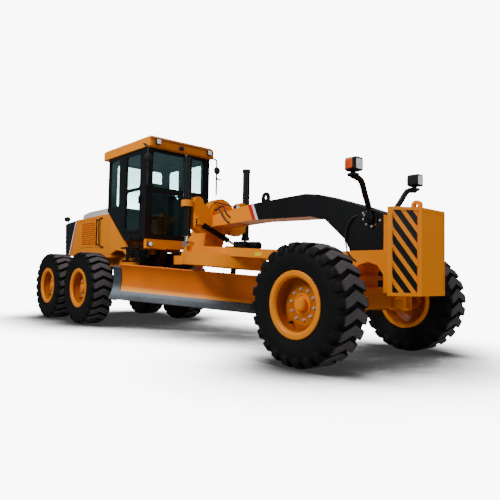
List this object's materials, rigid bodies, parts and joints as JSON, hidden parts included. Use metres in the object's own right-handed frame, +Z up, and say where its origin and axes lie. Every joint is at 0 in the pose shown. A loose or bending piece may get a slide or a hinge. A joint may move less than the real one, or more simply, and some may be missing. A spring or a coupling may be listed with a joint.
{
  "type": "motor grader",
  "caption": "Motor grader with articulated frame, turning blade on a drawbar and circle, leaning front wheels, tandem rear axles and enclosed cab.",
  "frame": {"origin": "on the ground under the middle of the machine's box", "axes": "+X forward, along the machine's length, +Y to its left, +Z up"},
  "size_m": [8.96, 2.637, 3.3799],
  "materials": {
    "yellow_paint": "orange-yellow gloss paint",
    "frame_paint": "orange-yellow paint behind, black paint ahead of a red and white band",
    "black_paint": "satin black paint",
    "grey_paint": "light grey paint",
    "chrome": "hard chrome rod",
    "edge_steel": "blue-grey hardened steel",
    "engine_iron": "dark cast iron",
    "tyre": "black tyre rubber",
    "glass": "green-tinted safety glass",
    "seat_fabric": "dark woven seat cloth",
    "black_plastic": "grained black plastic"
  },
  "bodies": {
    "rear_body": {"rear_frame": "yellow_paint", "tandem_axle": "black_paint", "engine": "engine_iron", "hood": "yellow_paint", "hood_top": "grey_paint", "hood_rear": "black_paint", "cab_frame": "black_paint", "cab_glass": "glass", "cab_roof": "yellow_paint", "cab_seat": "seat_fabric", "cab_console": "black_plastic", "steps": "black_paint", "mirrors": "black_plastic", "lamps": "black_plastic"},
    "front_body": {"front_frame": "frame_paint", "pedestal": "yellow_paint", "front_axle": "yellow_paint", "counterweight": "yellow_paint", "headlamps": "black_paint", "saddle": "yellow_paint", "lift_barrels": "black_paint"},
    "drawbar_body": {"drawbar": "yellow_paint", "circle_drive": "black_paint"},
    "circle_body": {"circle": "yellow_paint", "blade_arms": "yellow_paint", "tip_barrel": "black_paint"},
    "carrier_body": {"blade_carrier": "yellow_paint"},
    "blade_body": {"moldboard": "yellow_paint", "cutting_edges": "edge_steel"},
    "tip_rod_body": {"tip_rod": "chrome"},
    "lift_rods_body": {"lift_rods": "chrome"},
    "shift_barrel_body": {"shift_barrel": "black_paint"},
    "shift_rod_body": {"shift_rod": "chrome"},
    "lean_left_body": {"lean_link_left": "yellow_paint"},
    "lean_right_body": {"lean_link_right": "yellow_paint"},
    "lean_bar_body": {"lean_bar": "yellow_paint"},
    "knuckle_left_body": {"knuckle_left": "yellow_paint"},
    "knuckle_right_body": {"knuckle_right": "yellow_paint"},
    "tie_rod_body": {"tie_rod": "chrome"},
    "cab_door_left_body": {"cab_door_left": "black_paint", "door_glass_left": "glass"},
    "cab_door_right_body": {"cab_door_right": "black_paint", "door_glass_right": "glass"},
    "hood_door_left_body": {"hood_door_left": "yellow_paint"},
    "hood_door_right_body": {"hood_door_right": "yellow_paint"},
    "wheel_front_left_body": {"tyre_front_left": "tyre", "rim_front_left": "yellow_paint"},
    "wheel_front_right_body": {"tyre_front_right": "tyre", "rim_front_right": "yellow_paint"},
    "wheel_mid_left_body": {"tyre_mid_left": "tyre", "rim_mid_left": "yellow_paint"},
    "wheel_mid_right_body": {"tyre_mid_right": "tyre", "rim_mid_right": "yellow_paint"},
    "wheel_rear_left_body": {"tyre_rear_left": "tyre", "rim_rear_left": "yellow_paint"},
    "wheel_rear_right_body": {"tyre_rear_right": "tyre", "rim_rear_right": "yellow_paint"}
  },
  "joints": [
    {"name": "articulation", "type": "hinge", "parent": "rear_body", "child": "front_body", "pos_m": [-0.25, 0, 1.2], "axis": [0, 0, 1], "range_deg": [-20, 20]},
    {"name": "drawbar_pitch", "type": "hinge", "parent": "front_body", "child": "drawbar_body", "pos_m": [3.27, 0, 1.215], "axis": [0, 1, 0], "range_deg": [-9, 1]},
    {"name": "circle_turn", "type": "hinge", "parent": "drawbar_body", "child": "circle_body", "pos_m": [0.90191, 0, 1.31011], "axis": [0.0401, 0.0576, 0.9975], "continuous": true},
    {"name": "blade_tip", "type": "hinge", "parent": "circle_body", "child": "carrier_body", "pos_m": [0.62073, 0.30602, 0.56192], "axis": [0.8101, 0.5826, -0.0662], "range_deg": [-5, 40]},
    {"name": "blade_side_shift", "type": "slide", "parent": "carrier_body", "child": "blade_body", "axis": [0.8101, 0.5826, -0.0662], "range_m": [-0.1, 0.5]},
    {"name": "tip_rod_slide", "type": "slide", "parent": "circle_body", "child": "tip_rod_body", "axis": [0.0798, 0.0023, 0.9968], "range_m": [-0.018, 0.133]},
    {"name": "lift_rods_slide", "type": "slide", "parent": "front_body", "child": "lift_rods_body", "axis": [0, 0, 1], "range_m": [-0.41, 0.046]},
    {"name": "shift_cylinder_swing", "type": "hinge", "parent": "front_body", "child": "shift_barrel_body", "pos_m": [0.83, -0.5, 1.78], "axis": [1, 0, 0], "range_deg": [-17.5, 2]},
    {"name": "shift_rod_slide", "type": "slide", "parent": "shift_barrel_body", "child": "shift_rod_body", "axis": [0, 0.9212, -0.389], "range_m": [-0.023, 0.204]},
    {"name": "lean_left", "type": "hinge", "parent": "front_body", "child": "lean_left_body", "pos_m": [3.6, 0.64, 0.64], "axis": [1, 0, 0], "range_deg": [-17, 17]},
    {"name": "lean_right", "type": "hinge", "parent": "front_body", "child": "lean_right_body", "pos_m": [3.6, -0.64, 0.64], "axis": [1, 0, 0], "range_deg": [-17, 17]},
    {"name": "lean_bar_slide", "type": "slide", "parent": "front_body", "child": "lean_bar_body", "axis": [0, 1, 0], "range_m": [-0.095, 0.095]},
    {"name": "steer_left", "type": "hinge", "parent": "lean_left_body", "child": "knuckle_left_body", "pos_m": [3.6, 0.83, 0.64], "axis": [0, 0, 1], "range_deg": [-45, 45]},
    {"name": "steer_right", "type": "hinge", "parent": "lean_right_body", "child": "knuckle_right_body", "pos_m": [3.6, -0.83, 0.64], "axis": [0, 0, 1], "range_deg": [-45, 45]},
    {"name": "tie_rod_slide", "type": "slide", "parent": "front_body", "child": "tie_rod_body", "axis": [0, 1, 0], "range_m": [-0.122, 0.122]},
    {"name": "cab_door_left_swing", "type": "hinge", "parent": "rear_body", "child": "cab_door_left_body", "pos_m": [-1.285, 0.682, 2.4], "axis": [0, 0, 1], "range_deg": [0, 95]},
    {"name": "cab_door_right_swing", "type": "hinge", "parent": "rear_body", "child": "cab_door_right_body", "pos_m": [-1.285, -0.682, 2.4], "axis": [0, 0, -1], "range_deg": [0, 95]},
    {"name": "hood_door_left_swing", "type": "hinge", "parent": "rear_body", "child": "hood_door_left_body", "pos_m": [-2.595, 0.592, 1.77], "axis": [0, 0, -1], "range_deg": [0, 90]},
    {"name": "hood_door_right_swing", "type": "hinge", "parent": "rear_body", "child": "hood_door_right_body", "pos_m": [-2.595, -0.592, 1.77], "axis": [0, 0, 1], "range_deg": [0, 90]},
    {"name": "wheel_front_left_spin", "type": "hinge", "parent": "knuckle_left_body", "child": "wheel_front_left_body", "pos_m": [3.6, 1.075, 0.668], "axis": [0, 1, 0], "continuous": true},
    {"name": "wheel_front_right_spin", "type": "hinge", "parent": "knuckle_right_body", "child": "wheel_front_right_body", "pos_m": [3.6, -1.075, 0.668], "axis": [0, 1, 0], "continuous": true},
    {"name": "wheel_mid_left_spin", "type": "hinge", "parent": "rear_body", "child": "wheel_mid_left_body", "pos_m": [-1.86, 1.075, 0.668], "axis": [0, 1, 0], "continuous": true},
    {"name": "wheel_mid_right_spin", "type": "hinge", "parent": "rear_body", "child": "wheel_mid_right_body", "pos_m": [-1.86, -1.075, 0.668], "axis": [0, 1, 0], "continuous": true},
    {"name": "wheel_rear_left_spin", "type": "hinge", "parent": "rear_body", "child": "wheel_rear_left_body", "pos_m": [-3.4, 1.075, 0.668], "axis": [0, 1, 0], "continuous": true},
    {"name": "wheel_rear_right_spin", "type": "hinge", "parent": "rear_body", "child": "wheel_rear_right_body", "pos_m": [-3.4, -1.075, 0.668], "axis": [0, 1, 0], "continuous": true}
  ],
  "couplings": [
    {"joint": "tip_rod_slide", "follows": "blade_tip", "m_per_rad": 0.188},
    {"joint": "lift_rods_slide", "follows": "drawbar_pitch", "m_per_rad": 2.6},
    {"joint": "shift_cylinder_swing", "follows": "drawbar_pitch", "ratio": 1.936},
    {"joint": "shift_rod_slide", "follows": "drawbar_pitch", "m_per_rad": -1.297},
    {"joint": "lean_right", "follows": "lean_left", "ratio": 1},
    {"joint": "lean_bar_slide", "follows": "lean_left", "m_per_rad": -0.315},
    {"joint": "steer_right", "follows": "steer_left", "ratio": 1},
    {"joint": "tie_rod_slide", "follows": "steer_left", "m_per_rad": -0.153}
  ]
}
